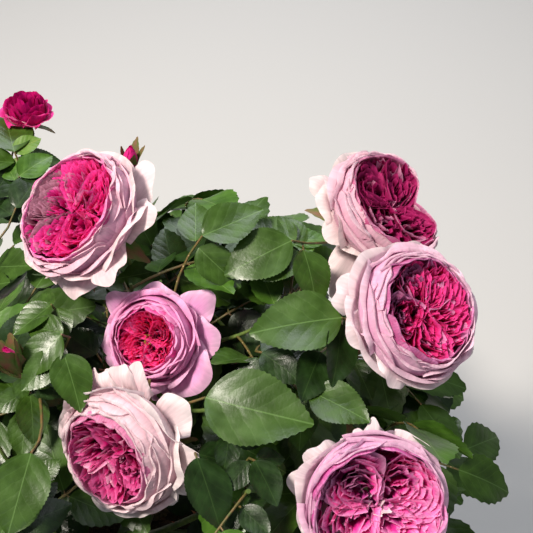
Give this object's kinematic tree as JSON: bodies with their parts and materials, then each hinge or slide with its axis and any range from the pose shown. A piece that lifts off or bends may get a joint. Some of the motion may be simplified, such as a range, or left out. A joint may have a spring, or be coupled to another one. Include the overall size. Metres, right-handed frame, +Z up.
{
  "type": "potted rose bush",
  "caption": "Rose bush in a round plastic pot: canes from one graft union, leafy shoots in a domed crown, and full rosette blooms with crimson hearts.",
  "frame": {"origin": "centre of the pot's flat underside", "axes": "+Z up along the pot's axis, -Y towards the side that the picture shows, +X to its right"},
  "size_m": [0.6039, 0.6004, 0.6698],
  "materials": {
    "pot_plastic": "satin",
    "compost": "crumbly",
    "old_wood": "rough bark",
    "cane_bark": "smooth bark",
    "foliage": "waxy",
    "petals": "velvety",
    "crimson_petals": "velvety"
  },
  "bodies": {
    "root": {"pot": "pot_plastic", "compost": "compost", "graft_union": "old_wood", "cane_1": "cane_bark", "cane_2": "cane_bark", "cane_3": "cane_bark", "cane_4": "cane_bark", "cane_5": "cane_bark", "cane_6": "cane_bark", "cane_7": "cane_bark", "cane_8": "cane_bark", "bloom_upper_left": "petals", "bloom_mid_left": "petals", "bloom_lower_left": "petals", "bloom_upper_right": "petals", "bloom_right": "petals", "bloom_lower_right": "petals", "bloom_far_left": "petals", "bloom_front_low": "petals", "bloom_back": "petals", "bloom_back_left": "petals", "bloom_small": "crimson_petals", "foliage_1": "foliage", "foliage_2": "foliage", "foliage_3": "foliage", "foliage_4": "foliage", "foliage_5": "foliage", "foliage_6": "foliage", "foliage_7": "foliage", "foliage_8": "foliage"}
  },
  "joints": []
}
